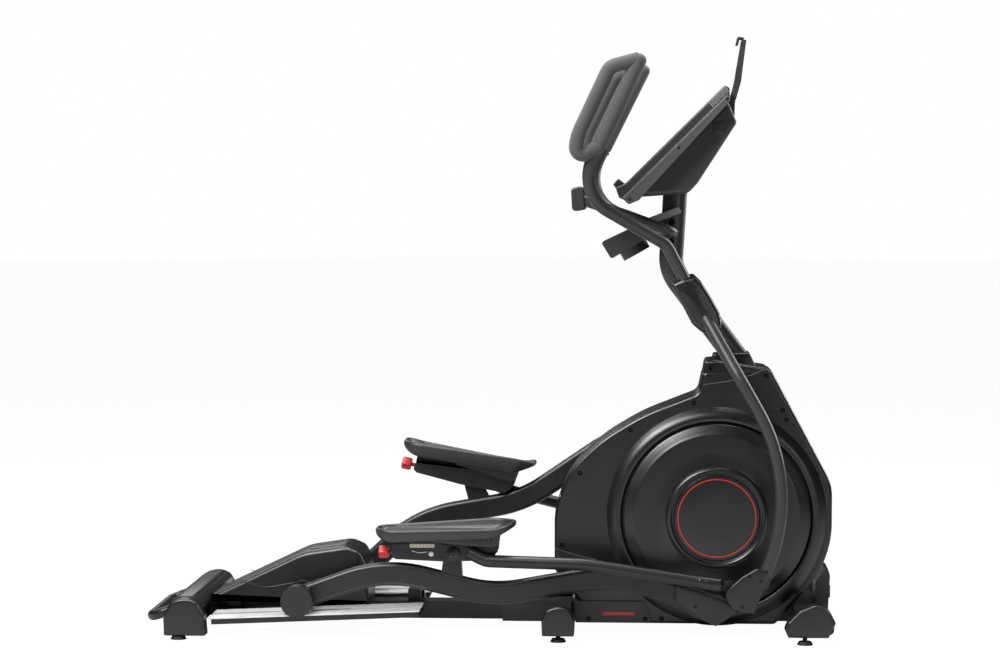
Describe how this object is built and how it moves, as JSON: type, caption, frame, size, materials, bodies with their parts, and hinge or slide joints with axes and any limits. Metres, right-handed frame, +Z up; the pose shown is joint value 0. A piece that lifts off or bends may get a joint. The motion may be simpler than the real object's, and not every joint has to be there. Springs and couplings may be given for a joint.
{
  "type": "elliptical trainer",
  "caption": "Front-drive elliptical trainer: pedal arms roll on an inclining rear ramp and swing handlebars move with them, under a tilted console.",
  "frame": {"origin": "on the floor, at the centre of the footprint (bounding box bottom centre)", "axes": "+X forward towards the shroud, +Y to the machine's left, +Z up"},
  "size_m": [2.096, 0.6976, 1.8193],
  "materials": {
    "powder_steel": "satin black powder coat",
    "plain_steel": "turned steel",
    "cast_iron": "machined, dark",
    "track_aluminium": "anodised, brushed",
    "cover_plastic": "fine grained black",
    "satin_plastic": "satin black",
    "console_grey": "dark grey",
    "screen_glass": "black glass front",
    "board_green": "circuit board",
    "foam_grip": "closed cell foam",
    "rubber_black": "moulded rubber",
    "wheel_orange": "polyurethane tyre",
    "knob_red": "red moulded plastic"
  },
  "bodies": {
    "frame": {"main_frame": "powder_steel", "stabilizer_beams": "powder_steel", "stabilizer_covers": "cover_plastic", "leveling_feet": "rubber_black", "console_mast": "powder_steel", "shroud_left": "cover_plastic", "shroud_right": "cover_plastic", "shroud_collar": "cover_plastic", "base_covers": "cover_plastic", "cover_screws": "plain_steel", "axle_bearings": "plain_steel", "drive_belt": "rubber_black", "fixed_handlebar": "powder_steel", "pulse_grips": "cover_plastic", "console_bezel": "satin_plastic", "console_rear_housing": "cover_plastic", "touchscreen": "screen_glass", "circuit_boards": "board_green", "bottle_holder": "cover_plastic", "power_inlet": "rubber_black"},
    "crank": {"crank_axle": "plain_steel", "crank_pulley": "cast_iron", "crank_arms": "powder_steel", "crank_discs": "satin_plastic"},
    "flywheel": {"flywheel": "cast_iron"},
    "idler": {"idler_pulley": "console_grey"},
    "brake": {"brake_magnet": "cast_iron"},
    "ramp": {"ramp_rails": "powder_steel", "track_plates": "track_aluminium", "incline_cover": "cover_plastic", "incline_motor": "cast_iron"},
    "incline_screw": {"incline_screw": "plain_steel"},
    "tablet_holder": {"tablet_holder": "console_grey"},
    "tablet_clamp": {"tablet_clamp": "console_grey"},
    "transport_wheels": {"transport_wheels": "rubber_black"},
    "roller_axle_right": {"roller_axle_right": "plain_steel"},
    "rollers_right": {"rollers_right": "wheel_orange"},
    "roller_boot_right": {"roller_boot_right": "cover_plastic"},
    "pedal_arm_right": {"pedal_arm_right": "powder_steel"},
    "pivot_pin_right": {"pivot_pin_right": "plain_steel"},
    "pedal_bracket_right": {"pedal_bracket_right": "powder_steel"},
    "footplate_right": {"footplate_right": "cover_plastic"},
    "ankle_knob_right": {"ankle_knob_right": "knob_red"},
    "swing_hub_right": {"swing_hub_right": "plain_steel"},
    "swing_arm_right": {"swing_arm_right": "powder_steel", "handle_grips_right": "foam_grip", "swing_covers_right": "cover_plastic"},
    "roller_axle_left": {"roller_axle_left": "plain_steel"},
    "rollers_left": {"rollers_left": "wheel_orange"},
    "roller_boot_left": {"roller_boot_left": "cover_plastic"},
    "pedal_arm_left": {"pedal_arm_left": "powder_steel"},
    "pivot_pin_left": {"pivot_pin_left": "plain_steel"},
    "pedal_bracket_left": {"pedal_bracket_left": "powder_steel"},
    "footplate_left": {"footplate_left": "cover_plastic"},
    "ankle_knob_left": {"ankle_knob_left": "knob_red"},
    "swing_hub_left": {"swing_hub_left": "plain_steel"},
    "swing_arm_left": {"swing_arm_left": "powder_steel", "handle_grips_left": "foam_grip", "swing_covers_left": "cover_plastic"}
  },
  "joints": [
    {"name": "crank_spin", "type": "hinge", "parent": "frame", "child": "crank", "pos_m": [0.6966, 0, 0.3586], "axis": [0, 1, 0], "continuous": true},
    {"name": "flywheel_spin", "type": "hinge", "parent": "frame", "child": "flywheel", "pos_m": [0.42, 0, 0.345], "axis": [0, 1, 0], "continuous": true},
    {"name": "idler_spin", "type": "hinge", "parent": "frame", "child": "idler", "pos_m": [0.52952, 0, 0.26274], "axis": [0, 1, 0], "continuous": true},
    {"name": "brake_set", "type": "hinge", "parent": "frame", "child": "brake", "pos_m": [0.30853, 0, 0.24463], "axis": [0, -1, 0], "range_deg": [0, 6]},
    {"name": "incline", "type": "hinge", "parent": "frame", "child": "ramp", "pos_m": [-0.85, 0, 0.05], "axis": [0, -1, 0], "range_deg": [0, 4.5]},
    {"name": "incline_screw_travel", "type": "slide", "parent": "ramp", "child": "incline_screw", "axis": [0.0436, 0, -0.999], "range_m": [0, 0.0302]},
    {"name": "transport_wheel_spin", "type": "hinge", "parent": "frame", "child": "transport_wheels", "pos_m": [1.024, 0, 0.042], "axis": [0, 1, 0], "continuous": true},
    {"name": "tablet_tilt", "type": "hinge", "parent": "frame", "child": "tablet_holder", "pos_m": [0.74, 0, 1.622], "axis": [0, 1, 0], "range_deg": [-12, 20]},
    {"name": "tablet_clamp_slide", "type": "slide", "parent": "tablet_holder", "child": "tablet_clamp", "axis": [0.1668, 0, 0.986], "range_m": [0, 0.03]},
    {"name": "stride_right", "type": "slide", "parent": "ramp", "child": "roller_axle_right", "axis": [0.999, 0, 0.0436], "range_m": [-0.163, 0.17]},
    {"name": "roller_spin_right", "type": "hinge", "parent": "roller_axle_right", "child": "rollers_right", "pos_m": [-0.57006, -0.2, 0.11167], "axis": [0, 1, 0], "continuous": true},
    {"name": "arm_level_right", "type": "hinge", "parent": "roller_axle_right", "child": "roller_boot_right", "pos_m": [-0.57006, -0.2, 0.11167], "axis": [0, -1, 0], "range_deg": [-7, 0]},
    {"name": "arm_lift_right", "type": "hinge", "parent": "roller_boot_right", "child": "pedal_arm_right", "pos_m": [-0.57006, -0.2, 0.11167], "axis": [0, -1, 0], "range_deg": [0, 23]},
    {"name": "pedal_level_right", "type": "hinge", "parent": "pedal_arm_right", "child": "pivot_pin_right", "pos_m": [-0.09882, -0.2, 0.25362], "axis": [0, -1, 0], "range_deg": [-36, 0]},
    {"name": "pedal_pitch_right", "type": "hinge", "parent": "pivot_pin_right", "child": "pedal_bracket_right", "pos_m": [-0.09882, -0.2, 0.25362], "axis": [0, -1, 0], "range_deg": [-3, 5]},
    {"name": "footplate_tilt_right", "type": "hinge", "parent": "pedal_bracket_right", "child": "footplate_right", "pos_m": [0.02118, -0.2, 0.28364], "axis": [0, 1, 0], "range_deg": [0, 10]},
    {"name": "knob_turn_right", "type": "hinge", "parent": "pedal_bracket_right", "child": "ankle_knob_right", "pos_m": [-0.29882, -0.2, 0.25458], "axis": [1, 0, 0.0002], "continuous": true},
    {"name": "swing_right", "type": "hinge", "parent": "frame", "child": "swing_hub_right", "pos_m": [0.6345, -0.127, 1.0105], "axis": [0, -1, 0], "range_deg": [-12, 21]},
    {"name": "swing_level_right", "type": "hinge", "parent": "swing_hub_right", "child": "swing_arm_right", "pos_m": [0.6345, -0.127, 1.0105], "axis": [0, -1, 0], "range_deg": [-10, 0]},
    {"name": "stride_left", "type": "slide", "parent": "ramp", "child": "roller_axle_left", "axis": [0.999, 0, 0.0436], "range_m": [-0.17, 0.163]},
    {"name": "roller_spin_left", "type": "hinge", "parent": "roller_axle_left", "child": "rollers_left", "pos_m": [-0.44317, 0.2, 0.11721], "axis": [0, 1, 0], "continuous": true},
    {"name": "arm_level_left", "type": "hinge", "parent": "roller_axle_left", "child": "roller_boot_left", "pos_m": [-0.44317, 0.2, 0.11721], "axis": [0, -1, 0], "range_deg": [-7, 0]},
    {"name": "arm_lift_left", "type": "hinge", "parent": "roller_boot_left", "child": "pedal_arm_left", "pos_m": [-0.44317, 0.2, 0.11721], "axis": [0, -1, 0], "range_deg": [-23, 0]},
    {"name": "pedal_level_left", "type": "hinge", "parent": "pedal_arm_left", "child": "pivot_pin_left", "pos_m": [-0.07001, 0.2, 0.43809], "axis": [0, -1, 0], "range_deg": [0, 36]},
    {"name": "pedal_pitch_left", "type": "hinge", "parent": "pivot_pin_left", "child": "pedal_bracket_left", "pos_m": [-0.07001, 0.2, 0.43809], "axis": [0, -1, 0], "range_deg": [-5, 3]},
    {"name": "footplate_tilt_left", "type": "hinge", "parent": "pedal_bracket_left", "child": "footplate_left", "pos_m": [0.05363, 0.2, 0.44162], "axis": [0, 1, 0], "range_deg": [0, 10]},
    {"name": "knob_turn_left", "type": "hinge", "parent": "pedal_bracket_left", "child": "ankle_knob_left", "pos_m": [-0.26513, 0.2, 0.48202], "axis": [0.9767, 0, -0.2148], "continuous": true},
    {"name": "swing_left", "type": "hinge", "parent": "frame", "child": "swing_hub_left", "pos_m": [0.6345, 0.127, 1.0105], "axis": [0, -1, 0], "range_deg": [-21, 12]},
    {"name": "swing_level_left", "type": "hinge", "parent": "swing_hub_left", "child": "swing_arm_left", "pos_m": [0.6345, 0.127, 1.0105], "axis": [0, -1, 0], "range_deg": [0, 10]}
  ],
  "couplings": [
    {"joint": "flywheel_spin", "follows": "crank_spin", "ratio": 5.3946},
    {"joint": "idler_spin", "follows": "crank_spin", "ratio": -6.6833},
    {"joint": "incline_screw_travel", "follows": "incline", "m_per_rad": 0.37},
    {"joint": "roller_spin_right", "follows": "stride_right", "rad_per_m": 25},
    {"joint": "arm_level_right", "follows": "incline", "ratio": -1.2284},
    {"joint": "pedal_level_right", "follows": "arm_lift_right", "ratio": -1.52},
    {"joint": "pedal_pitch_right", "follows": "stride_right", "rad_per_m": 0.28},
    {"joint": "knob_turn_right", "follows": "footplate_tilt_right", "ratio": 36},
    {"joint": "swing_right", "follows": "stride_right", "rad_per_m": 1.2048},
    {"joint": "swing_level_right", "follows": "arm_lift_right", "ratio": -0.393},
    {"joint": "stride_left", "follows": "stride_right", "ratio": -1},
    {"joint": "roller_spin_left", "follows": "stride_right", "rad_per_m": -25},
    {"joint": "arm_level_left", "follows": "incline", "ratio": -1.3286},
    {"joint": "arm_lift_left", "follows": "arm_lift_right", "ratio": -1},
    {"joint": "pedal_level_left", "follows": "arm_lift_right", "ratio": 1.52},
    {"joint": "pedal_pitch_left", "follows": "stride_right", "rad_per_m": -0.28},
    {"joint": "knob_turn_left", "follows": "footplate_tilt_left", "ratio": 36},
    {"joint": "swing_left", "follows": "stride_right", "rad_per_m": -1.2048},
    {"joint": "swing_level_left", "follows": "arm_lift_right", "ratio": 0.393}
  ]
}
